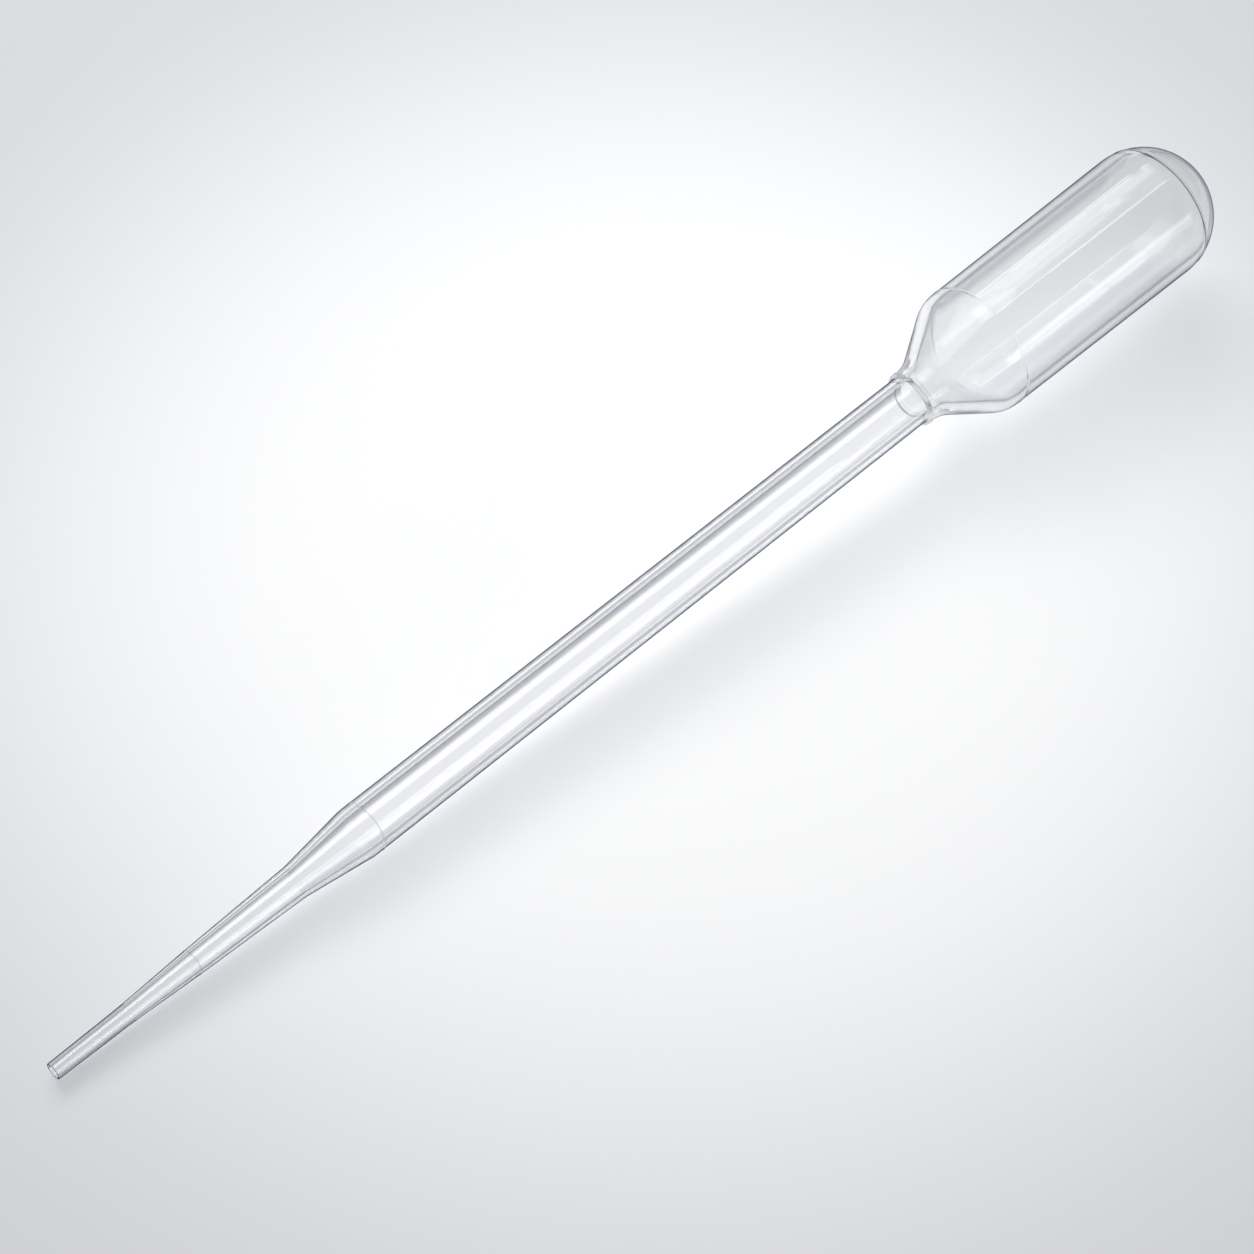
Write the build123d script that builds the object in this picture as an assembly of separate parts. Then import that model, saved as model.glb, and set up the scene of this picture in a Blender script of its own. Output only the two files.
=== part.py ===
from build123d import *
import os
from math import asin, atan2, cos, degrees, dist, hypot, pi, radians, sin, tan

# Plastic dropper pipette, moulded in one piece. From the mouth up it has a thin spout, a
# nozzle, a cone, a straight stem, a collar, a flared shoulder and a round-ended bulb that
# is squeezed to draw liquid up. It is one hollow wall, open only at the mouth.
# All sizes are millimetres. Lengths run along the pipette's own axis, away from the mouth.

# Lengths of the stretches, in order
spout_length = 8.5
lower_nozzle_length = 7.9
upper_nozzle_length = 12.6
cone_length = 7.6
stem_length = 75.2
collar_width = 0.6
neck_length = 1.45
shoulder_length = 6.75
bulb_length = 27.05

# Outer radii, and how much wider or narrower one stretch is than the next
mouth_radius = 0.88
spout_radius = 0.98
seam_radius = 1.34
nozzle_radius = 1.75
stem_radius = 2.72
neck_step = 0.33
collar_step = 0.07
bulb_radius = 7.35
bulb_draft = 0.28

# Wall thicknesses
mouth_wall = 0.24
spout_wall = 0.24
seam_wall = 0.33
nozzle_wall = 0.5
stem_wall = 0.77
neck_wall = 0.79
shoulder_wall = 1.07
bulb_wall = 0.88

# How far forward the dome's bore is set, which is how much thinner the wall is at the crown
dome_thinning = 0.45

# How long the slope is by which the collar rises from the stem
collar_rise = 0.25

# Roundings, on the outside unless the name says bore
rim_rounding = 0.06
spout_rounding = 60.0
cone_foot_rounding = 6.0
cone_top_rounding = 1.5
cone_top_bore_rounding = 0.3
collar_foot_rounding = 0.3
collar_crest_rounding = 0.15
neck_foot_rounding = 0.1
shoulder_foot_rounding = 4.6
shoulder_foot_bore_rounding = 3.0
shoulder_top_rounding = 4.0
shoulder_top_bore_rounding = 6.5

# Fine seams that the mould leaves round the nozzle, the stem, the bulb and the dome
seam_height = 0.04
seam_width = 0.3
stem_seam_offset = 1.15
bulb_seam_offset = 0.3
dome_seam_rise = 1.85

# How far it is turned about its own axis, in degrees, so that it lies steady on a flat of
# its faceted collision shape
facet_turn = 7.6

# Stations along the axis
seam_station = spout_length + lower_nozzle_length
nozzle_end = seam_station + upper_nozzle_length
cone_end = nozzle_end + cone_length
stem_end = cone_end + stem_length
collar_end = stem_end + collar_width
neck_end = collar_end + neck_length
shoulder_end = neck_end + shoulder_length
dome_centre = shoulder_end + bulb_length

# Radii and slopes, in radians, that follow from the sizes
neck_radius = stem_radius + neck_step
collar_radius = neck_radius + collar_step
bulb_foot_radius = bulb_radius - bulb_draft
nozzle_slope = atan2(nozzle_radius - seam_radius, upper_nozzle_length)
cone_slope = atan2(stem_radius - nozzle_radius, cone_length)
shoulder_slope = atan2(bulb_foot_radius - neck_radius, shoulder_length)
bulb_slope = asin(bulb_draft / bulb_length)

# The rounded top of the shoulder: where it ends on the bulb, and its centre
top_run = shoulder_top_rounding * tan((shoulder_slope - bulb_slope) / 2)
bulb_start = shoulder_end + top_run * cos(bulb_slope)
top_centre_station = bulb_start + shoulder_top_rounding * sin(bulb_slope)
top_centre_radius = (
    bulb_foot_radius + top_run * sin(bulb_slope) - shoulder_top_rounding * cos(bulb_slope)
)


def inside(station, radius, wall, slope=0.0):
    """The bore's corner behind an outer corner where the surface turns by slope radians."""
    return (station + wall * tan(slope / 2), radius - wall)


def inside_flare(station, radius, wall):
    """The bore's corner behind an end of the shoulder, where its wall meets a level one."""
    along = (shoulder_wall * cos(shoulder_slope) - wall) / sin(shoulder_slope)
    return (station + shoulder_wall * sin(shoulder_slope) + along * cos(shoulder_slope), radius - wall)


def seam(station, radius, slope=0.0):
    """The corners of a fine ridge round the outside, where the surface rises at slope radians."""
    half = seam_width / 2
    return [
        ((station - half, radius - half * tan(slope)), 0.0),
        ((station, radius + seam_height), 0.0),
        ((station + half, radius + half * tan(slope)), 0.0),
    ]


def on_dome(angle, reach, forward=0.0):
    """A point at an angle in degrees past the dome's base ring, at a reach from its centre."""
    return (dome_centre + forward + reach * sin(radians(angle)), reach * cos(radians(angle)))


def fitted_path(start, corners, end):
    """Straights through the corners, each rounded as asked or as far as its straights allow."""
    points = [start, *[point for point, _ in corners], end]
    runs = [0.0]
    for before, point, after, (_, rounding) in zip(points, points[1:], points[2:], corners):
        turn = atan2(after[1] - point[1], after[0] - point[0])
        turn -= atan2(point[1] - before[1], point[0] - before[0])
        turn = abs((turn + pi) % (2 * pi) - pi)
        runs.append(rounding * tan(turn / 2))
    runs.append(0.0)
    rooms = [0.98 * dist(a, b) / max(r + s, 1e-9) for a, b, r, s in zip(points, points[1:], runs, runs[1:])]
    shares = [min(1.0, room, next_room) for room, next_room in zip(rooms, rooms[1:])]
    roundings = [rounding * share for (_, rounding), share in zip(corners, shares)]
    return FilletPolyline(*points, radius=roundings)


# The bore, from the dome's base down to the mouth: each corner with its rounding
bore_corners = [
    (inside_flare(shoulder_end, bulb_foot_radius, bulb_wall), shoulder_top_bore_rounding),
    (inside_flare(neck_end, neck_radius, neck_wall), shoulder_foot_bore_rounding),
    (inside(collar_end, stem_radius, stem_wall), neck_foot_rounding),
    (inside(cone_end, stem_radius, stem_wall, cone_slope), cone_top_bore_rounding),
    (inside(nozzle_end, nozzle_radius, nozzle_wall, cone_slope), cone_foot_rounding + nozzle_wall),
    (inside(seam_station, seam_radius, seam_wall), 0.0),
    (inside(spout_length, spout_radius, spout_wall), spout_rounding),
    (inside(0.0, mouth_radius, mouth_wall), rim_rounding),
]

# The outside, from the mouth up to the dome's base
bulb_seam_radius = bulb_foot_radius + (bulb_start + bulb_seam_offset - shoulder_end) * tan(bulb_slope)
skin_corners = [
    ((0.0, mouth_radius), rim_rounding),
    ((spout_length, spout_radius), spout_rounding),
    *seam(seam_station, seam_radius, nozzle_slope),
    ((nozzle_end, nozzle_radius), cone_foot_rounding),
    ((cone_end, stem_radius), cone_top_rounding),
    *seam(cone_end + stem_seam_offset, stem_radius),
    ((stem_end, stem_radius), collar_foot_rounding),
    ((stem_end + collar_rise, collar_radius), collar_crest_rounding),
    ((collar_end, collar_radius), collar_crest_rounding),
    ((collar_end, neck_radius), neck_foot_rounding),
    ((neck_end, neck_radius), shoulder_foot_rounding),
    ((shoulder_end, bulb_foot_radius), shoulder_top_rounding),
    *seam(bulb_start + bulb_seam_offset, bulb_seam_radius, bulb_slope),
]

# The dome: its bore is set forward, so that the wall thins towards the crown. Its own seam's
# place is in degrees past the base ring.
dome_bore_radius = bulb_radius - bulb_wall
dome_start = -degrees(bulb_slope)
dome_seam_angle = degrees(asin(dome_seam_rise / bulb_radius))
half_seam_angle = degrees(seam_width / 2 / bulb_radius)
dome_seam_start = dome_seam_angle - half_seam_angle
dome_seam_end = dome_seam_angle + half_seam_angle

# The section through one side of the wall, X along the axis and Y the radius
with BuildPart() as moulding:
    with BuildSketch(Plane.XY):
        with BuildLine():
            fitted_path(
                on_dome(dome_start, dome_bore_radius, dome_thinning),
                bore_corners + skin_corners,
                on_dome(dome_start, bulb_radius),
            )
            CenterArc((dome_centre, 0), bulb_radius, 90 - dome_seam_start, dome_seam_start - dome_start)
            Polyline(
                on_dome(dome_seam_start, bulb_radius),
                on_dome(dome_seam_angle, bulb_radius + seam_height),
                on_dome(dome_seam_end, bulb_radius),
            )
            CenterArc((dome_centre, 0), bulb_radius, 0, 90 - dome_seam_end)
            Line(on_dome(90, bulb_radius), on_dome(90, dome_bore_radius, dome_thinning))
            CenterArc((dome_centre + dome_thinning, 0), dome_bore_radius, 0, 90 - dome_start)
        make_face()
    revolve(axis=Axis.X)


def tilt_from(station, radius):
    """The axis's tilt in degrees when this ring and the shoulder's top both touch the table."""
    along = top_centre_station - station
    across = top_centre_radius - radius
    return degrees(atan2(across, along) + asin(shoulder_top_rounding / hypot(along, across)))


# It lies on its side: the bulb touches, and of the mouth and the cone's top the one that
# lets the axis lie lower. The origin is under the middle of its length.
lying_tilt = min(tilt_from(0.0, mouth_radius), tilt_from(cone_end, stem_radius))
lying = moulding.part.rotate(Axis.X, facet_turn).rotate(Axis.Y, -lying_tilt)
extent = lying.bounding_box()
pipette = Pos(-extent.center().X, -extent.center().Y, -extent.min.Z) * lying

os.makedirs("parts", exist_ok=True)
export_step(pipette, "parts/pipette.step")
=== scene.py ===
"""Looks of a clear plastic dropper pipette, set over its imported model.

The pipette is one hollow moulding: a spout and nozzle, a cone, a straight stem, a collar,
a flared shoulder and a round-ended bulb. It lies on a pale glossy table under soft light.
Lengths in the pipette's classes are millimetres along or across its own axis, counted from
its mouth, and its mesh is scaled to metres when it is finished. The table and the lamps are
in metres and degrees.
"""

import logging
import math
from dataclasses import dataclass, field
from enum import Enum
from typing import ClassVar

import bmesh
import bpy
from mathutils import Matrix, Vector


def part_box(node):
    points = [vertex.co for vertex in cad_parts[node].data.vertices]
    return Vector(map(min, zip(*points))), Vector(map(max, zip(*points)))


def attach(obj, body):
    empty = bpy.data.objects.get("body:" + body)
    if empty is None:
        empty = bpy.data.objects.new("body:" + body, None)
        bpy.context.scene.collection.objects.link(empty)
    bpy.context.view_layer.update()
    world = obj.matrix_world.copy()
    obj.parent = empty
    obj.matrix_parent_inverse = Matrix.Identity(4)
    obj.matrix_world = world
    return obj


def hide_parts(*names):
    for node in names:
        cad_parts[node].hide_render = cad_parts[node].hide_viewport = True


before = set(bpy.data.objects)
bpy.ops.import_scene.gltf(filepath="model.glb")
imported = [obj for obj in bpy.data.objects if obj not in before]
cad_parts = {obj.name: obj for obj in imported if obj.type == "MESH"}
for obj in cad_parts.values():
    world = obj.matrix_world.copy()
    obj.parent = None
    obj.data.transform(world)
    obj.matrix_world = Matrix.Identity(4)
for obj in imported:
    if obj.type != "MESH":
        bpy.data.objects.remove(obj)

MM = 0.001
NODE = "pipette"
BODY = "root"
LOG = logging.getLogger("pipette_scene")

Colour = tuple[float, float, float]


class Side(Enum):
    """The two faces of the moulded wall."""

    SKIN = "outside of the wall"
    BORE = "inside of the wall"


@dataclass(frozen=True)
class Corner:
    """A turn of the wall's outline, before it is rounded."""

    along: float
    radius: float
    rounding: float = 0.0

    @property
    def place(self) -> Vector:
        """The corner in the drawing plane, X along the axis and Z across it."""
        return Vector((self.along, 0.0, self.radius))


class Lathe:
    """Draws one outline with straights and arcs, then turns it about the X axis.

    The outline is drawn in the XZ plane, in millimetres.
    """

    FINEST_STEP = 1e-7
    SAME_POINT = 1e-5
    ON_AXIS = 1e-3
    NO_TURN = 1e-6
    ROOM_USED = 0.98
    ARC_STEPS = 3
    ARC_PITCH = 3.0

    def __init__(self, start: Vector) -> None:
        """Starts the outline.

        Args:
            start: The outline's first point, in the XZ plane.
        """
        self.mesh = bmesh.new()
        self.tip = self.mesh.verts.new(start)

    def straight(self, end: Vector) -> None:
        """Draws a straight from the tip.

        Args:
            end: Where the straight ends.
        """
        step = end - self.tip.co
        if step.length < self.FINEST_STEP:
            return
        made = bmesh.ops.extrude_vert_indiv(self.mesh, verts=[self.tip])
        self.tip = made["verts"][0]
        bmesh.ops.translate(self.mesh, verts=[self.tip], vec=step)

    def arc(self, centre: Vector, turn: float) -> None:
        """Draws an arc from the tip, in steps of a few degrees.

        Args:
            centre: The arc's centre, in the XZ plane.
            turn: The angle swept, in radians, positive from X towards Z.
        """
        steps = max(self.ARC_STEPS, math.ceil(abs(math.degrees(turn)) / self.ARC_PITCH))
        made = bmesh.ops.spin(
            self.mesh,
            geom=[self.tip],
            cent=centre,
            axis=Vector((0.0, -1.0, 0.0)),
            angle=turn,
            steps=steps,
            use_merge=False,
        )
        self.tip = next(g for g in made["geom_last"] if isinstance(g, bmesh.types.BMVert))

    def rounded(self, corners: list[Corner], end: Vector) -> None:
        """Draws straights through corners, each rounded as asked or as far as there is room.

        Args:
            corners: The corners, in order.
            end: The point after the last corner.
        """
        points = [self.tip.co.copy(), *[corner.place for corner in corners], end]
        turns, runs = [0.0], [0.0]
        for before, point, after, corner in zip(points, points[1:], points[2:], corners):
            turn = bearing(after - point) - bearing(point - before)
            turn = (turn + math.pi) % (2 * math.pi) - math.pi
            turns.append(turn)
            runs.append(corner.rounding * math.tan(abs(turn) / 2))
        runs.append(0.0)
        rooms = [
            self.ROOM_USED * (b - a).length / max(r + s, self.FINEST_STEP)
            for a, b, r, s in zip(points, points[1:], runs, runs[1:])
        ]
        for i, corner in enumerate(corners, start=1):
            share = min(1.0, rooms[i - 1], rooms[i])
            ahead = (points[i] - points[i - 1]).normalized()
            self.straight(points[i] - ahead * runs[i] * share)
            if corner.rounding > 0.0 and abs(turns[i]) > self.NO_TURN:
                side = math.copysign(1.0, turns[i])
                across = Vector((-ahead.z, 0.0, ahead.x)) * side
                self.arc(self.tip.co + across * corner.rounding * share, turns[i])
        self.straight(end)

    def turned(self, facets: int) -> bmesh.types.BMesh:
        """Spins the outline all the way round into a closed surface, with closed poles.

        Args:
            facets: How many steps the full turn has.

        Returns:
            The closed mesh, with its faces pointing out of the material.
        """
        for end in self.mesh.verts:
            if abs(end.co.z) < self.ON_AXIS:
                end.co.z = 0.0
        bmesh.ops.spin(
            self.mesh,
            geom=self.mesh.verts[:] + self.mesh.edges[:],
            cent=Vector(),
            axis=Vector((1.0, 0.0, 0.0)),
            angle=2 * math.pi,
            steps=facets,
            use_merge=True,
        )
        bmesh.ops.remove_doubles(self.mesh, verts=self.mesh.verts[:], dist=self.SAME_POINT)
        bmesh.ops.recalc_face_normals(self.mesh, faces=self.mesh.faces[:])
        for face in self.mesh.faces:
            face.smooth = True
        return self.mesh


def bearing(step: Vector) -> float:
    """The direction of a step in the XZ plane, in radians from X towards Z."""
    return math.atan2(step.z, step.x)


def behind(along: float, radius: float, wall: float, slope: float = 0.0) -> tuple[float, float]:
    """The bore's corner behind a corner of the skin.

    Args:
        along: The skin corner's place along the axis.
        radius: The skin corner's radius.
        wall: The wall's thickness there.
        slope: How far the skin turns at the corner, in radians.

    Returns:
        The bore corner's place along the axis and its radius.
    """
    return along + wall * math.tan(slope / 2), radius - wall


@dataclass(frozen=True)
class Seam:
    """A fine ridge that the mould leaves round the moulding."""

    height: float = 0.04
    width: float = 0.3
    rounding: float = 0.0

    def corners(self, along: float, radius: float, slope: float = 0.0) -> list[Corner]:
        """The ridge's outline.

        Args:
            along: The ridge's place along the axis.
            radius: The skin's radius there.
            slope: How steeply the skin rises there, in radians.

        Returns:
            The three corners of the ridge.
        """
        half = self.width / 2
        rise = half * math.tan(slope)
        return [
            Corner(along - half, radius - rise, self.rounding),
            Corner(along, radius + self.height, self.rounding),
            Corner(along + half, radius + rise, self.rounding),
        ]


@dataclass(frozen=True)
class Nozzle:
    """The thin end: a spout with the mouth, and a nozzle that widens in two stretches."""

    spout_length: float = 8.5
    lower_length: float = 7.9
    upper_length: float = 12.6
    mouth_radius: float = 0.88
    spout_radius: float = 0.98
    seam_radius: float = 1.34
    top_radius: float = 1.75
    mouth_wall: float = 0.24
    spout_wall: float = 0.24
    seam_wall: float = 0.33
    rim_rounding: float = 0.06
    spout_rounding: float = 60.0

    @property
    def seam_place(self) -> float:
        """Where the nozzle's own seam runs."""
        return self.spout_length + self.lower_length

    @property
    def end(self) -> float:
        """Where the nozzle meets the cone."""
        return self.seam_place + self.upper_length

    def corners(self, side: Side, seam: Seam) -> list[Corner]:
        """The nozzle's outline from the mouth up.

        Args:
            side: Which face of the wall.
            seam: The ridge round the skin.

        Returns:
            The corners, in order away from the mouth.
        """
        if side is Side.SKIN:
            slope = math.atan2(self.top_radius - self.seam_radius, self.upper_length)
            return [
                Corner(0.0, self.mouth_radius, self.rim_rounding),
                Corner(self.spout_length, self.spout_radius, self.spout_rounding),
                *seam.corners(self.seam_place, self.seam_radius, slope),
            ]
        return [
            Corner(*behind(0.0, self.mouth_radius, self.mouth_wall), self.rim_rounding),
            Corner(
                *behind(self.spout_length, self.spout_radius, self.spout_wall),
                self.spout_rounding,
            ),
            Corner(*behind(self.seam_place, self.seam_radius, self.seam_wall)),
        ]


@dataclass(frozen=True)
class Stem:
    """The cone above the nozzle and the long straight stem above that."""

    cone_length: float = 7.6
    length: float = 75.2
    foot_radius: float = Nozzle.top_radius
    radius: float = 2.72
    foot_wall: float = 0.5
    wall: float = 0.77
    foot_rounding: float = 6.0
    top_rounding: float = 1.5
    bore_rounding: float = 0.3
    seam_offset: float = 1.15

    @property
    def slope(self) -> float:
        """How steeply the cone rises, in radians."""
        return math.atan2(self.radius - self.foot_radius, self.cone_length)

    def corners(self, side: Side, start: float, seam: Seam) -> list[Corner]:
        """The cone's and the stem's outline.

        Args:
            side: Which face of the wall.
            start: Where the cone starts.
            seam: The ridge round the skin.

        Returns:
            The corners, in order away from the mouth.
        """
        top = start + self.cone_length
        if side is Side.SKIN:
            return [
                Corner(start, self.foot_radius, self.foot_rounding),
                Corner(top, self.radius, self.top_rounding),
                *seam.corners(top + self.seam_offset, self.radius),
            ]
        return [
            Corner(
                *behind(start, self.foot_radius, self.foot_wall, self.slope),
                self.foot_rounding + self.foot_wall,
            ),
            Corner(*behind(top, self.radius, self.wall, self.slope), self.bore_rounding),
        ]


@dataclass(frozen=True)
class Collar:
    """The narrow raised ring at the top of the stem, and the short neck above it."""

    width: float = 0.6
    rise: float = 0.25
    neck_length: float = 1.45
    stem_radius: float = Stem.radius
    stem_wall: float = Stem.wall
    neck_step: float = 0.33
    step: float = 0.07
    foot_rounding: float = 0.3
    crest_rounding: float = 0.15
    neck_rounding: float = 0.1

    @property
    def neck_radius(self) -> float:
        """The skin's radius on the neck."""
        return self.stem_radius + self.neck_step

    def corners(self, side: Side, start: float) -> list[Corner]:
        """The collar's outline.

        Args:
            side: Which face of the wall.
            start: Where the collar starts.

        Returns:
            The corners, in order away from the mouth.
        """
        end = start + self.width
        if side is Side.BORE:
            return [Corner(*behind(end, self.stem_radius, self.stem_wall), self.neck_rounding)]
        crest = self.neck_radius + self.step
        return [
            Corner(start, self.stem_radius, self.foot_rounding),
            Corner(start + self.rise, crest, self.crest_rounding),
            Corner(end, crest, self.crest_rounding),
            Corner(end, self.neck_radius, self.neck_rounding),
        ]


@dataclass(frozen=True)
class Bulb:
    """The flared shoulder and the bulb, which ends in a dome."""

    shoulder_length: float = 6.75
    length: float = 27.05
    neck_radius: float = Collar.stem_radius + Collar.neck_step
    radius: float = 7.35
    draft: float = 0.28
    neck_wall: float = 0.79
    shoulder_wall: float = 1.07
    wall: float = 0.88
    crown_thinning: float = 0.45
    foot_rounding: float = 4.6
    foot_bore_rounding: float = 4.5
    top_rounding: float = 4.0
    top_bore_rounding: float = 3.6
    seam_offset: float = 0.3
    dome_seam_rise: float = 1.72

    @property
    def foot_radius(self) -> float:
        """The skin's radius where the shoulder meets the bulb."""
        return self.radius - self.draft

    @property
    def shoulder_slope(self) -> float:
        """How steeply the shoulder rises, in radians."""
        return math.atan2(self.foot_radius - self.neck_radius, self.shoulder_length)

    @property
    def slope(self) -> float:
        """How steeply the bulb widens, in radians."""
        return math.asin(self.draft / self.length)

    @property
    def top_run(self) -> float:
        """How far the shoulder's rounded top reaches along the bulb."""
        return self.top_rounding * math.tan((self.shoulder_slope - self.slope) / 2)

    def top_centre(self, start: float) -> tuple[float, float]:
        """The centre of the shoulder's rounded top.

        Args:
            start: Where the shoulder starts.

        Returns:
            Its place along the axis and its distance from the axis.
        """
        along = start + self.shoulder_length + self.top_run * math.cos(self.slope)
        return (
            along + self.top_rounding * math.sin(self.slope),
            self.foot_radius
            + self.top_run * math.sin(self.slope)
            - self.top_rounding * math.cos(self.slope),
        )

    def ring_place(self, start: float) -> float:
        """Where the ring round the bulb's foot runs, for a shoulder that starts there."""
        top = start + self.shoulder_length
        return top + self.top_run * math.cos(self.slope) + self.seam_offset

    def behind_end(self, along: float, radius: float, wall: float) -> tuple[float, float]:
        """The bore's corner behind an end of the shoulder.

        Args:
            along: The end's place along the axis.
            radius: The skin's radius there.
            wall: The thickness of the level wall that the shoulder's wall meets.

        Returns:
            The corner's place along the axis and its radius.
        """
        rise, run = math.sin(self.shoulder_slope), math.cos(self.shoulder_slope)
        slant = (self.shoulder_wall * run - wall) / rise
        return along + self.shoulder_wall * rise + slant * run, radius - wall

    def corners(self, side: Side, start: float, seam: Seam) -> list[Corner]:
        """The shoulder's and the bulb's outline up to the dome.

        Args:
            side: Which face of the wall.
            start: Where the shoulder starts.
            seam: The ridge round the skin.

        Returns:
            The corners, in order away from the mouth.
        """
        top = start + self.shoulder_length
        if side is Side.BORE:
            foot_place = self.behind_end(start, self.neck_radius, self.neck_wall)
            top_place = self.behind_end(top, self.foot_radius, self.wall)
            return [
                Corner(*foot_place, self.foot_bore_rounding),
                Corner(*top_place, self.top_bore_rounding),
            ]
        ring = self.ring_place(start)
        ring_radius = self.foot_radius + (ring - top) * math.tan(self.slope)
        return [
            Corner(start, self.neck_radius, self.foot_rounding),
            Corner(top, self.foot_radius, self.top_rounding),
            *seam.corners(ring, ring_radius, self.slope),
        ]

    def dome_centre(self, side: Side, start: float) -> Vector:
        """The dome's centre. The bore's is set forward, so that the wall thins at the crown.

        Args:
            side: Which face of the wall.
            start: Where the shoulder starts.

        Returns:
            The centre in the drawing plane.
        """
        forward = self.crown_thinning if side is Side.BORE else 0.0
        return Vector((start + self.shoulder_length + self.length + forward, 0.0, 0.0))

    def dome_point(self, side: Side, start: float, angle: float, proud: float = 0.0) -> Vector:
        """A point on the dome.

        Args:
            side: Which face of the wall.
            start: Where the shoulder starts.
            angle: How far past the dome's base ring, in radians.
            proud: How far the point stands out of the face.

        Returns:
            The point in the drawing plane.
        """
        reach = proud + (self.radius if side is Side.SKIN else self.radius - self.wall)
        centre = self.dome_centre(side, start)
        return centre + Vector((math.sin(angle), 0.0, math.cos(angle))) * reach


@dataclass(frozen=True)
class Shading:
    """Colours in order along a ramp, each with its place from 0 to 1."""

    stops: tuple[tuple[float, Colour], ...]

    def fill(self, ramp: bpy.types.ColorRamp) -> None:
        """Sets a colour ramp's stops.

        Args:
            ramp: The ramp, with its two first stops.
        """
        while len(ramp.elements) < len(self.stops):
            ramp.elements.new(1.0)
        for element, (place, colour) in zip(ramp.elements, self.stops):
            element.position = place
            element.color = (*colour, 1.0)


class MaterialMaker:
    """A new material, with short ways to add its nodes and join them."""

    def __init__(self, name: str) -> None:
        """Starts the material without any node.

        Args:
            name: The material's name.
        """
        self.made = bpy.data.materials.new(name)
        self.made.use_nodes = True
        self.made.node_tree.nodes.clear()

    def node(self, kind: str, **values: object) -> bpy.types.ShaderNode:
        """Adds a node.

        Args:
            kind: The node's type, without the ShaderNode that it starts with.
            **values: What the node's own sockets hold, by name, with _ in place of a space.

        Returns:
            The node.
        """
        made = self.made.node_tree.nodes.new(f"ShaderNode{kind}")
        for name, value in values.items():
            made.inputs[name.replace("_", " ")].default_value = value
        return made

    def join(self, source: bpy.types.NodeSocket, target: bpy.types.NodeSocket) -> None:
        """Links an output to an input."""
        self.made.node_tree.links.new(source, target)

    def ramp(self, shading: Shading, at: bpy.types.NodeSocket) -> bpy.types.NodeSocket:
        """Adds a colour ramp.

        Args:
            shading: The ramp's stops.
            at: The output that says where along the ramp to read.

        Returns:
            The colour found there.
        """
        made = self.node("ValToRGB")
        shading.fill(made.color_ramp)
        self.join(at, made.inputs["Fac"])
        return made.outputs["Color"]

    def mixed_colour(
        self,
        share: bpy.types.NodeSocket,
        first: bpy.types.NodeSocket,
        second: bpy.types.NodeSocket,
    ) -> bpy.types.NodeSocket:
        """Mixes two colours.

        Args:
            share: How much of the second colour there is.
            first: The first colour.
            second: The second colour.

        Returns:
            The mixed colour.
        """
        mixer = self.node("Mix")
        mixer.data_type = "RGBA"
        self.join(share, mixer.inputs["Factor"])
        colours = [socket for socket in mixer.inputs if socket.type == "RGBA"]
        self.join(first, colours[0])
        self.join(second, colours[1])
        return next(socket for socket in mixer.outputs if socket.type == "RGBA")

    def mixed_shader(
        self,
        share: bpy.types.NodeSocket,
        first: bpy.types.NodeSocket,
        second: bpy.types.NodeSocket,
    ) -> bpy.types.NodeSocket:
        """Mixes two shaders.

        Args:
            share: How much of the second shader there is.
            first: The first shader.
            second: The second shader.

        Returns:
            The mixed shader.
        """
        mixer = self.node("MixShader")
        self.join(share, mixer.inputs["Fac"])
        self.join(first, mixer.inputs[1])
        self.join(second, mixer.inputs[2])
        return mixer.outputs["Shader"]

    def finished(self, surface: bpy.types.NodeSocket) -> bpy.types.Material:
        """Joins the shader to the material's output.

        Args:
            surface: The shader.

        Returns:
            The material.
        """
        self.join(surface, self.node("OutputMaterial").inputs["Surface"])
        return self.made


CLEAR = (0.978, 0.979, 0.982)
DENSE = (0.94, 0.942, 0.947)
# Painted shade: how much cooler its darker greys are, and the steps of a skin's painted outline
COOLNESS = (0.0, 0.02, 0.1)
RIM_GREYS = (0.80, 0.50, 0.12)


def grey(level: float) -> Colour:
    """A slightly cool grey for painted shade, cooler where it is darker.

    Args:
        level: How light it is, from 0 to 1.

    Returns:
        The colour.
    """
    red, green, blue = (level + cool * (1.0 - level) for cool in COOLNESS)
    return red, green, blue


def rim(edge: float, width: float = 0.07) -> Shading:
    """The painted shade of a skin, darker near its outline.

    Args:
        edge: Where the darkening sets in, from 0 where it faces the eye to 1 edge on.
        width: How far one step of the darkening is from the next.

    Returns:
        The shading.
    """
    darker = ((edge + i * width, grey(level)) for i, level in enumerate(RIM_GREYS))
    return Shading(((edge - width, CLEAR), *((min(place, 1.0), tone) for place, tone in darker)))


def greys(*stops: tuple[float, float], clear: Colour = CLEAR) -> Shading:
    """A painted shade that starts clear and goes through cool greys.

    Args:
        stops: Each place on the ramp with its grey, the first one's being replaced by clear.
        clear: The colour that counts as clear.

    Returns:
        The shading.
    """
    first, *rest = stops
    return Shading(((first[0], clear), *((place, grey(level)) for place, level in rest)))


# Almost no painted shade for rays inside the wall, and the shadow's colour from low to high
WIDE_OPEN = greys((0.0, 1.0), (1.0, 0.97))
CAST = Shading(((0.0, (0.69, 0.70, 0.73)), (1.0, (0.93, 0.932, 0.94))))


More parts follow.
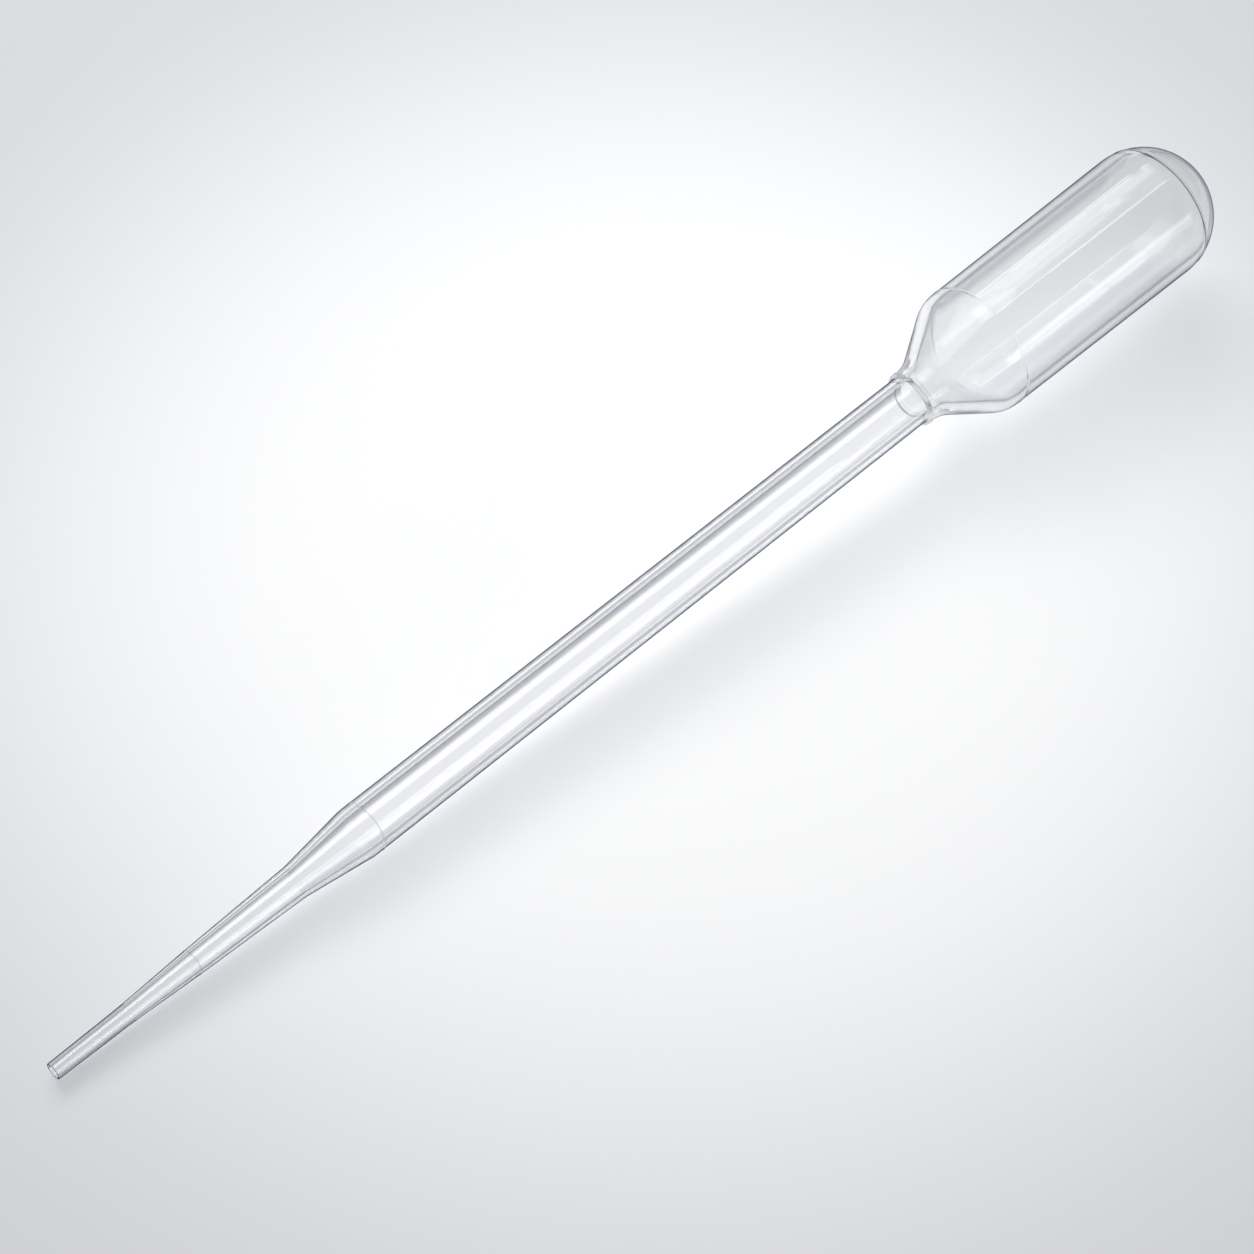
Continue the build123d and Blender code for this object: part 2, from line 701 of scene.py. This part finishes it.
@dataclass(frozen=True)
class ClearPlastic:
    """A clear, slightly cool moulded plastic with faint flow lines.

    Shade is painted into its colour as cool grey bands, set by how steeply a ray meets it,
    once for rays in the air and once for rays inside the wall. The painted shade for the air
    may be another one behind the pipette's axis. A haze scatters the light that stays in the
    wall, from haze_from on, and each of its steps says how far past that it scatters which
    share. Low parts cast a darker shadow than high ones, by the cast shading over the
    cast_height in millimetres. There are so many flow lines a metre along and across the
    pipette.
    """

    name: str
    in_air: Shading
    in_wall: Shading = WIDE_OPEN
    in_air_behind: Shading | None = None
    haze_from: float = 0.255
    haze: tuple[float, float, float, float] = (0.62, 0.63, 0.65, 1.0)
    haze_steps: tuple[tuple[float, float], ...] = ((0.0, 0.0), (0.03, 0.5), (0.3, 0.7))
    index: float = 1.5
    flow_lines: tuple[float, float, float] = (25.0, 420.0, 420.0)
    flow_strength: float = 0.012
    flow_height: float = 0.0001
    blur: float = 0.3
    cast: Shading = CAST
    cast_height: float = 15.8

    def flow(
        self, maker: MaterialMaker, place: bpy.types.NodeSocket, turn: Matrix
    ) -> bpy.types.NodeSocket:
        """Makes the faint flow lines along the pipette.

        Args:
            maker: What the nodes are added to.
            place: The point on the surface.
            turn: The turn from the pipette's own axes to the scene's.

        Returns:
            The surface's normal.
        """
        along = maker.node("Mapping", Rotation=turn.inverted().to_euler(), Scale=self.flow_lines)
        maker.join(place, along.inputs["Vector"])
        noise = maker.node("TexNoise", Scale=1.0, Detail=1.0)
        maker.join(along.outputs["Vector"], noise.inputs["Vector"])
        bump = maker.node("Bump", Strength=self.flow_strength, Distance=self.flow_height)
        maker.join(noise.outputs["Fac"], bump.inputs["Height"])
        return bump.outputs["Normal"]

    def tint_and_painted_shade(
        self,
        maker: MaterialMaker,
        facing: bpy.types.NodeSocket,
        inside: bpy.types.NodeSocket,
        across: bpy.types.NodeSocket,
    ) -> bpy.types.NodeSocket:
        """Makes the plastic's own colour, with painted shade set by how steeply a ray meets the
        surface.

        Args:
            maker: What the nodes are added to.
            facing: 0 where the ray meets the surface square on, 1 where it is edge on.
            inside: 1 for a ray inside the wall, else 0.
            across: How far the point is behind the pipette's axis.

        Returns:
            The colour.
        """
        rear = maker.node("MapRange", From_Min=-self.blur * MM, From_Max=self.blur * MM)
        maker.join(across, rear.inputs["Value"])
        air = maker.mixed_colour(
            rear.outputs["Result"],
            maker.ramp(self.in_air, facing),
            maker.ramp(self.in_air_behind or self.in_air, facing),
        )
        return maker.mixed_colour(inside, air, maker.ramp(self.in_wall, facing))

    def hazed(
        self,
        maker: MaterialMaker,
        clear: bpy.types.NodeSocket,
        facing: bpy.types.NodeSocket,
        inside: bpy.types.NodeSocket,
    ) -> bpy.types.NodeSocket:
        """Adds the haze that scatters the light that stays in the wall.

        Args:
            maker: What the nodes are added to.
            clear: The shader without the haze.
            facing: 0 where the ray meets the surface square on, 1 where it is edge on.
            inside: 1 for a ray inside the wall, else 0.

        Returns:
            The shader with the haze.
        """
        trapped = Shading(
            tuple((self.haze_from + step, (part, part, part)) for step, part in self.haze_steps)
        )
        share = maker.node("Math")
        share.operation = "MULTIPLY"
        maker.join(maker.ramp(trapped, facing), share.inputs[0])
        maker.join(inside, share.inputs[1])
        haze = maker.node("BsdfTranslucent", Color=self.haze)
        return maker.mixed_shader(share.outputs["Value"], clear, haze.outputs["BSDF"])

    def shadow(self, maker: MaterialMaker, height: bpy.types.NodeSocket) -> bpy.types.NodeSocket:
        """Makes what a shadow ray meets, which lets most light through.

        Args:
            maker: What the nodes are added to.
            height: The point's height over the table.

        Returns:
            The shader.
        """
        level = maker.node("MapRange", From_Max=self.cast_height * MM)
        maker.join(height, level.inputs["Value"])
        made = maker.node("BsdfTransparent")
        maker.join(maker.ramp(self.cast, level.outputs["Result"]), made.inputs["Color"])
        return made.outputs["BSDF"]

    def material(self, turn: Matrix) -> bpy.types.Material:
        """Builds the finish.

        Args:
            turn: The turn from the pipette's own axes to the scene's.

        Returns:
            The material.
        """
        maker = MaterialMaker(self.name)
        place = maker.node("TexCoord").outputs["Object"]
        facing = maker.node("LayerWeight", Blend=0.5).outputs["Facing"]
        inside = maker.node("NewGeometry").outputs["Backfacing"]
        apart = maker.node("SeparateXYZ")
        maker.join(place, apart.inputs["Vector"])
        glass = maker.node("BsdfGlass", IOR=self.index, Roughness=0.0)
        maker.join(self.flow(maker, place, turn), glass.inputs["Normal"])
        # The plastic's own colour with painted shade in grey bands towards its outlines
        tint_and_painted_shade = self.tint_and_painted_shade(maker, facing, inside, apart.outputs["Y"])
        maker.join(tint_and_painted_shade, glass.inputs["Color"])
        plastic = self.hazed(maker, glass.outputs["BSDF"], facing, inside)
        shadow = self.shadow(maker, apart.outputs["Z"])
        shadow_ray = maker.node("LightPath").outputs["Is Shadow Ray"]
        return maker.finished(maker.mixed_shader(shadow_ray, plastic, shadow))


BORE_HAZE = 0.38
# Painted shade for each stretch of the bore, in grey bands by how edge on a ray meets it: in the
# air, in the air behind the axis, and in the wall
SLIM_AIR = greys(
    (0.26, 1.0), (0.31, 0.87), (0.48, 0.80), (0.54, 0.66), (0.60, 0.96), (0.68, 0.96), (0.76, 0.7)
)
SLIM_AIR_BEHIND = greys(
    (0.20, 1.0),
    (0.265, 0.82),
    (0.31, 0.57),
    (0.46, 0.49),
    (0.55, 0.30),
    (0.60, 0.90),
    (0.70, 1.0),
    (0.80, 0.45),
)
SLIM_WALL = greys((0.245, 1.0), (0.272, 0.64), (0.30, 0.66), (0.322, 0.94), (0.34, 0.98))
NOZZLE_AIR = greys((0.30, 1.0), (0.40, 0.92), (0.60, 0.85), (1.0, 0.7))
NOZZLE_AIR_BEHIND = greys(
    (0.20, 1.0),
    (0.28, 0.82),
    (0.33, 0.64),
    (0.46, 0.56),
    (0.55, 0.42),
    (0.61, 0.92),
    (0.75, 0.98),
    (1.0, 0.6),
)
NOZZLE_WALL = greys((0.235, 1.0), (0.262, 0.48), (0.292, 0.50), (0.318, 0.94), (0.34, 0.98))
WIDE_AIR = greys((0.45, 1.0), (0.53, 0.92), (0.60, 0.86), (0.70, 0.83), (1.0, 0.5), clear=DENSE)
WIDE_AIR_BEHIND = greys(
    (0.36, 1.0), (0.44, 0.94), (0.52, 0.78), (0.60, 0.64), (0.70, 0.60), (1.0, 0.4), clear=DENSE
)
WIDE_WALL = greys(
    (0.235, 1.0), (0.247, 0.66), (0.258, 0.70), (0.268, 0.94), (0.28, 0.98), clear=DENSE
)
FLARE_AIR = greys((0.50, 1.0), (0.60, 0.92), (0.70, 0.84), (1.0, 0.5), clear=DENSE)
DOME_AIR = greys((0.70, 1.0), (0.80, 0.86), (1.0, 0.5), clear=DENSE)


class FinishAndPaintedShade(Enum):
    """The plastic on each stretch of the wall's two faces, each with its own painted shade
    towards the outlines.
    """

    SPOUT_SKIN = ClearPlastic("spout_skin", rim(0.47))
    NOZZLE_SKIN = ClearPlastic("nozzle_skin", rim(0.58))
    SLIM_SKIN = ClearPlastic("slim_skin", rim(0.64))
    FLARE_SKIN = ClearPlastic("flare_skin", rim(0.79))
    WIDE_SKIN = ClearPlastic("wide_skin", rim(0.75))
    NOZZLE_BORE = ClearPlastic(
        "nozzle_bore", NOZZLE_AIR, NOZZLE_WALL, NOZZLE_AIR_BEHIND, BORE_HAZE
    )
    SLIM_BORE = ClearPlastic("slim_bore", SLIM_AIR, SLIM_WALL, SLIM_AIR_BEHIND, BORE_HAZE)
    FLARE_BORE = ClearPlastic("flare_bore", FLARE_AIR, WIDE_WALL, haze_from=BORE_HAZE)
    WIDE_BORE = ClearPlastic("wide_bore", WIDE_AIR, WIDE_WALL, WIDE_AIR_BEHIND, BORE_HAZE)
    DOME_BORE = ClearPlastic("dome_bore", DOME_AIR, WIDE_WALL, haze_from=BORE_HAZE)
    # Painted shade: flat dark greys on the seams, the collar's edge and the dome's ring
    RIDGE_PAINTED_SHADE = ClearPlastic("ridge_painted_shade", Shading(((0.0, grey(0.45)), (1.0, grey(0.3)))))
    FINE_RIDGE_PAINTED_SHADE = ClearPlastic("fine_ridge_painted_shade", Shading(((0.0, grey(0.84)), (1.0, grey(0.5)))))


@dataclass(frozen=True)
class PaleTableWithPaintedPool:
    """A pale glossy table top with a painted pool of light: whitest where the pipette lies,
    and painted darker and cooler further out.

    The painted light fades from the middle of an oval to its rim, where the rim's share of
    the white is left. The oval reaches so many metres from its middle and is deeper than it
    is wide. The slope is the part of its reach, counted from the rim, over which it darkens.
    """

    name: str = "pale_table_painted_pool"
    middle: tuple[float, float] = (0.007, 0.0072)
    reach: float = 0.1
    depth: float = 1.1
    turn: float = -44.2
    white: Colour = (0.864, 0.864, 0.864)
    cool: Colour = (0.99, 1.0, 1.03)
    roughness: float = 0.6
    index: float = 1.3
    coat: float = 0.1
    coat_roughness: float = 0.2
    rim: float = 0.668
    slope: float = 0.71
    stops: int = 10

    def share(self, place: float) -> float:
        """How much of the white is left.

        Args:
            place: How far in from the oval's rim, where its middle is 1.

        Returns:
            The share.
        """
        way = min(place / self.slope, 1.0)
        return 1.0 - (1.0 - self.rim) * (1.0 + math.cos(math.pi * way)) / 2

    def shade(self, share: float) -> Colour:
        """The colour where a share of the white is left.

        Args:
            share: The share, 1 in the middle.

        Returns:
            The colour.
        """
        cooling = (1.0 - share) / (1.0 - self.rim)
        return tuple(w * share * (1 + (c - 1) * cooling) for w, c in zip(self.white, self.cool))

    def material(self) -> bpy.types.Material:
        """Builds the finish.

        Returns:
            The material.
        """
        maker = MaterialMaker(self.name)
        spread = maker.node(
            "Mapping",
            Location=(*self.middle, 0.0),
            Rotation=(0.0, 0.0, math.radians(self.turn)),
            Scale=(self.reach, self.reach * self.depth, 1.0),
        )
        spread.vector_type = "TEXTURE"
        maker.join(maker.node("TexCoord").outputs["Object"], spread.inputs["Vector"])
        oval = maker.node("TexGradient")
        oval.gradient_type = "SPHERICAL"
        maker.join(spread.outputs["Vector"], oval.inputs["Vector"])
        # The painted pool of light, as colour stops from the oval's rim inwards
        places = [i / self.stops for i in range(self.stops)]
        shades = Shading(tuple((place, self.shade(self.share(place))) for place in places))
        top = maker.node(
            "BsdfPrincipled",
            Roughness=self.roughness,
            IOR=self.index,
            Coat_Weight=self.coat,
            Coat_Roughness=self.coat_roughness,
        )
        maker.join(maker.ramp(shades, oval.outputs["Fac"]), top.inputs["Base Color"])
        return maker.finished(top.outputs["BSDF"])


@dataclass(frozen=True)
class Ring:
    """A stretch of the skin with painted shade of its own."""

    start: float
    end: float
    finish: FinishAndPaintedShade


@dataclass(frozen=True)
class Pipette:
    """The whole moulding: its parts in order, and how it lies on the table.

    Shade is painted as dark grey lines on the collar's edge, from a little before it to a
    little past it, and on the dome's ring on both slopes but not on its flat top. The dome's
    bore has a painted shade of its own from dome_finish on, past the dome's base.
    """

    nozzle: Nozzle = field(default_factory=Nozzle)
    stem: Stem = field(default_factory=Stem)
    collar: Collar = field(default_factory=Collar)
    bulb: Bulb = field(default_factory=Bulb)
    seam: Seam = Seam(height=0.03, width=0.28, rounding=0.02)
    dome_seam: Seam = Seam(height=0.05, width=0.5)
    dome_seam_top: float = 0.16
    collar_edge: tuple[float, float] = (-0.1, 0.05)
    dome_finish: float = 3.0
    facets: int = 240
    name: str = "clear_pipette"

    INWARD: ClassVar[float] = -0.05

    @property
    def cone_end(self) -> float:
        """Where the cone meets the stem."""
        return self.nozzle.end + self.stem.cone_length

    @property
    def collar_start(self) -> float:
        """Where the stem meets the collar."""
        return self.cone_end + self.stem.length

    @property
    def shoulder_start(self) -> float:
        """Where the neck meets the shoulder."""
        return self.collar_start + self.collar.width + self.collar.neck_length

    def corners(self, side: Side) -> list[Corner]:
        """The whole outline of one face of the wall, from the mouth to the dome."""
        return [
            *self.nozzle.corners(side, self.seam),
            *self.stem.corners(side, self.nozzle.end, self.seam),
            *self.collar.corners(side, self.collar_start),
            *self.bulb.corners(side, self.shoulder_start, self.seam),
        ]

    def section(self) -> Lathe:
        """Draws the wall's section, from the dome's inside to the mouth and back outside.

        Returns:
            The lathe, with the outline drawn.
        """
        bulb, start = self.bulb, self.shoulder_start
        centre = bulb.dome_centre(Side.SKIN, start)
        base, pole = -bulb.slope, math.pi / 2
        lathe = Lathe(bulb.dome_point(Side.BORE, start, pole))
        lathe.arc(bulb.dome_centre(Side.BORE, start), pole - base)
        skin_base = bulb.dome_point(Side.SKIN, start, base)
        lathe.rounded(self.corners(Side.BORE)[::-1] + self.corners(Side.SKIN), skin_base)
        ring = math.asin(bulb.dome_seam_rise / bulb.radius)
        half = self.dome_seam.width / 2 / bulb.radius
        flat = half / 3
        lathe.arc(centre, base - (ring - half))
        for angle in (ring - flat, ring + flat):
            lathe.straight(bulb.dome_point(Side.SKIN, start, angle, self.dome_seam.height))
        lathe.straight(bulb.dome_point(Side.SKIN, start, ring + half))
        lathe.arc(centre, ring + half - pole)
        return lathe

    def lean(self) -> float:
        """How far the axis leans when the moulding lies on its bulb and its thin end.

        Returns:
            The lean in radians.
        """
        along, radius = self.bulb.top_centre(self.shoulder_start)
        ends = [(0.0, self.nozzle.mouth_radius), (self.cone_end, self.stem.radius)]
        return min(
            math.atan2(radius - low, along - end)
            + math.asin(self.bulb.top_rounding / math.hypot(along - end, radius - low))
            for end, low in ends
        )

    def lay(self) -> Matrix:
        """The turn that lays the moulding down, from its own axes to the scene's."""
        return Matrix.Rotation(-self.lean(), 4, "Y")

    def rings(self) -> list[Ring]:
        """The fine rings round the skin, painted with dark lines of shade."""
        half = self.seam.width / 2
        fine = (self.nozzle.seam_place, self.cone_end + self.stem.seam_offset)
        before, past = self.collar_edge
        edge = self.collar_start + self.collar.width
        centre = self.bulb.dome_centre(Side.SKIN, self.shoulder_start)
        dome = centre.x + self.bulb.dome_seam_rise
        dome_half, top_half = self.dome_seam.width / 2, self.dome_seam_top / 2
        return [
            *(Ring(place, place + half, FinishAndPaintedShade.FINE_RIDGE_PAINTED_SHADE) for place in fine),
            Ring(edge + before, edge + past, FinishAndPaintedShade.RIDGE_PAINTED_SHADE),
            Ring(dome - dome_half, dome - top_half, FinishAndPaintedShade.RIDGE_PAINTED_SHADE),
            Ring(dome + top_half, dome + dome_half, FinishAndPaintedShade.FINE_RIDGE_PAINTED_SHADE),
        ]

    def finish_of(self, face: bmesh.types.BMFace, rings: list[Ring]) -> FinishAndPaintedShade:
        """Which finish a mesh face has.

        Args:
            face: The face, before the moulding is laid down.
            rings: The rings round the skin.

        Returns:
            A bore's finish where it looks towards the axis or the dome's centre, or else a
            skin's.
        """
        middle = face.calc_center_median()
        centre = self.bulb.dome_centre(Side.SKIN, self.shoulder_start)
        out = (middle - Vector((min(middle.x, centre.x), 0.0, 0.0))).normalized()
        slim = middle.x < self.collar_start
        flared = middle.x < self.shoulder_start + self.bulb.shoulder_length
        if face.normal.dot(out) < self.INWARD:
            if slim:
                thin = middle.x < self.nozzle.end
                return FinishAndPaintedShade.NOZZLE_BORE if thin else FinishAndPaintedShade.SLIM_BORE
            if flared:
                return FinishAndPaintedShade.FLARE_BORE
            domed = middle.x >= centre.x + self.dome_finish
            return FinishAndPaintedShade.DOME_BORE if domed else FinishAndPaintedShade.WIDE_BORE
        for ring in rings:
            if ring.start < middle.x < ring.end:
                return ring.finish
        if middle.x < self.nozzle.spout_length:
            return FinishAndPaintedShade.SPOUT_SKIN
        if slim:
            thin = middle.x < self.nozzle.seam_place
            return FinishAndPaintedShade.NOZZLE_SKIN if thin else FinishAndPaintedShade.SLIM_SKIN
        return FinishAndPaintedShade.FLARE_SKIN if flared else FinishAndPaintedShade.WIDE_SKIN

    def build(self) -> bpy.types.Object:
        """Makes the moulding, lays it in its packed place and dresses it.

        Returns:
            The finished piece.
        """
        made = self.section().turned(self.facets)
        finishes, rings = list(FinishAndPaintedShade), self.rings()
        for face in made.faces:
            face.material_index = finishes.index(self.finish_of(face, rings))
        turn = self.lay()
        bmesh.ops.transform(made, matrix=Matrix.Scale(MM, 4) @ turn, verts=made.verts[:])
        mesh = bpy.data.meshes.new(self.name)
        made.to_mesh(mesh)
        made.free()
        low = Vector(min(v.co[i] for v in mesh.vertices) for i in range(3))
        high = Vector(max(v.co[i] for v in mesh.vertices) for i in range(3))
        packed_low, packed_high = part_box(NODE)
        shift = (Vector(packed_low) + Vector(packed_high) - low - high) / 2
        shift.z = packed_low[2] - low.z
        mesh.transform(Matrix.Translation(shift))
        piece = bpy.data.objects.new(self.name, mesh)
        bpy.context.scene.collection.objects.link(piece)
        for finish in finishes:
            mesh.materials.append(finish.value.material(turn))
        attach(piece, BODY)
        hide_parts(NODE)
        return piece

    def axis_point(self, along: float) -> Vector:
        """A point of the axis as the moulding lies.

        Args:
            along: Its distance from the mouth in millimetres.

        Returns:
            The point in the scene, in metres.
        """
        low, high = (Vector(corner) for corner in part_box(NODE))
        lean = self.lean()
        crown = high.x - self.bulb.radius * MM
        centre = self.shoulder_start + self.bulb.shoulder_length + self.bulb.length
        height = low.z + self.nozzle.mouth_radius * MM * math.cos(lean)
        dome = Vector((crown, (low.y + high.y) / 2, height + centre * MM * math.sin(lean)))
        return dome + Vector((math.cos(lean), 0.0, math.sin(lean))) * (along - centre) * MM


@dataclass(frozen=True)
class Softbox:
    """A soft rectangular lamp, hung parallel to the pipette.

    Its lift is how high it stands, from 0 at the near side over 90 right above to 180 at the
    far side. Its start and end lie along the pipette, in metres from the point it faces. A
    mirrored lamp shows in reflections, and a shadowed one casts shadows.
    """

    name: str
    lift: float
    distance: float
    start: float
    end: float
    width: float
    glow: float
    mirrored: bool = True
    shadowed: bool = False

    def place(self, aim: Vector) -> bpy.types.Object:
        """Hangs the lamp.

        Args:
            aim: The point of the pipette's axis that its distances are counted from.

        Returns:
            The lamp.
        """
        length = self.end - self.start
        lamp = bpy.data.lights.new(self.name, "AREA")
        lamp.shape = "RECTANGLE"
        lamp.size, lamp.size_y = length, self.width
        lamp.energy = self.glow * self.width * length * math.pi
        lamp.use_shadow = self.shadowed
        made = bpy.data.objects.new(self.name, lamp)
        lift = math.radians(self.lift)
        back = Vector((0.0, -math.cos(lift), math.sin(lift)))
        along = Vector(((self.start + self.end) / 2, 0.0, 0.0))
        made.location = aim + along + back * self.distance
        made.rotation_mode = "QUATERNION"
        made.rotation_quaternion = Matrix.Rotation(math.pi / 2 - lift, 3, "X").to_quaternion()
        made.visible_camera = False
        made.visible_glossy = made.visible_transmission = self.mirrored
        bpy.context.scene.collection.objects.link(made)
        return made


# Where a lamp starts or ends, so that its reflection does so at the tip or an end of the bulb
TIP, BULB_FOOT, BULB_END = -0.15, 0.432, 0.57

# Each lamp's name, lift, distance, start, end, width and glow
LAMPS = (
    Softbox("near_softbox", 109.0, 0.8, -1.0, TIP, 0.746, 1.1),
    Softbox("overhead_softbox", 99.0, 0.8, TIP, BULB_FOOT, 0.429, 2.2),
    Softbox("overhead_fill", 124.0, 0.8, TIP, BULB_FOOT, 0.282, 0.8),
    Softbox("far_low_softbox", 96.5, 0.8, BULB_FOOT, BULB_END, 0.355, 0.4),
    Softbox("far_high_softbox", 119.0, 0.8, BULB_FOOT, BULB_END, 0.29, 1.6),
    Softbox("far_fill", 109.0, 0.8, BULB_END, 1.1, 0.746, 0.9, mirrored=False),
    Softbox("upper_tube", 130.5, 0.75, 0.43, 0.535, 0.05, 3.0),
    Softbox("lower_tube", 84.0, 0.75, 0.43, 0.535, 0.033, 3.0),
    Softbox("front_near_softbox", 8.0, 0.8, -0.2, 0.1, 0.17, 2.0),
    Softbox("front_softbox", 8.0, 0.8, 0.1, 0.445, 0.17, 3.4),
    Softbox("front_far_softbox", 8.5, 0.8, 0.445, 0.64, 0.28, 1.2),
    Softbox("front_tube", 12.8, 0.75, 0.445, 0.60, 0.02, 3.0),
    Softbox("back_softbox", 172.0, 0.9, 0.0, 1.0, 0.24, 0.8),
    Softbox("shadow_softbox", 145.0, 0.9, 0.0, 0.9, 0.30, 7.5, mirrored=False, shadowed=True),
)


@dataclass(frozen=True)
class Studio:
    """The table, the surround, the lamps and the camera.

    The camera stands off by so many millimetres, in a direction given by its bearing and its
    elevation. It looks at the axis at the distance sight from the mouth, and a little to the
    lower side of it. The lens is in millimetres, for a sensor of the given width.
    """

    table: PaleTableWithPaintedPool = field(default_factory=PaleTableWithPaintedPool)
    table_radius: float = 1.5
    table_sides: int = 96
    surround: Colour = (0.79, 0.80, 0.82)
    surround_glow: float = 0.42
    bearing: float = -44.2
    elevation: float = 49.4
    stand_off: float = 388.6
    lens: float = 114.83
    sensor: float = 36.0
    clip: tuple[float, float] = (0.01, 10.0)
    sight: float = 71.59
    side_step: float = 0.39

    def lay_table(self, height: float) -> bpy.types.Object:
        """Makes the table top.

        Args:
            height: Its height in metres.

        Returns:
            The table top.
        """
        made = bmesh.new()
        bmesh.ops.create_circle(
            made, cap_ends=True, segments=self.table_sides, radius=self.table_radius
        )
        mesh = bpy.data.meshes.new("table_top")
        made.to_mesh(mesh)
        made.free()
        mesh.transform(Matrix.Translation((0.0, 0.0, height)))
        table = bpy.data.objects.new("table_top", mesh)
        bpy.context.scene.collection.objects.link(table)
        mesh.materials.append(self.table.material())
        return table

    def light(self, aim: Vector) -> None:
        """Hangs the lamps and lights the surround.

        Args:
            aim: The point that the lamps face.
        """
        for lamp in LAMPS:
            lamp.place(aim)
        world = bpy.data.worlds.new("surround")
        world.use_nodes = True
        glow = world.node_tree.nodes["Background"].inputs
        glow["Color"].default_value = (*self.surround, 1.0)
        glow["Strength"].default_value = self.surround_glow
        bpy.context.scene.world = world

    def stand_camera(self, pipette: Pipette) -> bpy.types.Object:
        """Stands the camera and makes it the scene's.

        Args:
            pipette: The moulding that it looks at.

        Returns:
            The camera.
        """
        a, e = math.radians(self.bearing), math.radians(self.elevation)
        back = Vector((math.sin(a) * math.cos(e), -math.cos(a) * math.cos(e), math.sin(e)))
        turn = (-back).to_track_quat("-Z", "Y")
        right, up = turn @ Vector((1.0, 0.0, 0.0)), turn @ Vector((0.0, 1.0, 0.0))
        lean = pipette.lean()
        axis = Vector((math.cos(lean), 0.0, math.sin(lean)))
        slope = math.atan2(axis.dot(up), axis.dot(right))
        lower = right * math.sin(slope) - up * math.cos(slope)
        aim = pipette.axis_point(self.sight) + lower * self.side_step * MM
        lens = bpy.data.cameras.new("studio_camera")
        lens.lens, lens.sensor_width = self.lens, self.sensor
        lens.clip_start, lens.clip_end = self.clip
        camera = bpy.data.objects.new("studio_camera", lens)
        camera.location = aim + back * self.stand_off * MM
        camera.rotation_mode = "QUATERNION"
        camera.rotation_quaternion = turn
        bpy.context.scene.collection.objects.link(camera)
        bpy.context.scene.camera = camera
        return camera


def main() -> None:
    """Builds the pipette and its studio."""
    logging.basicConfig(level=logging.INFO, format="%(name)s: %(message)s")
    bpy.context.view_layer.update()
    pipette = Pipette()
    piece = pipette.build()
    LOG.info("%s: %d faces", piece.name, len(piece.data.polygons))
    studio = Studio()
    table = studio.lay_table(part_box(NODE)[0][2])
    LOG.info("%s: radius %.2f m", table.name, studio.table_radius)
    studio.light(pipette.axis_point(studio.sight))
    camera = studio.stand_camera(pipette)
    LOG.info("%s: %.3f m away", camera.name, studio.stand_off * MM)
    scene = bpy.context.scene
    scene.view_settings.view_transform = "Standard"


if __name__ == "__main__":
    main()
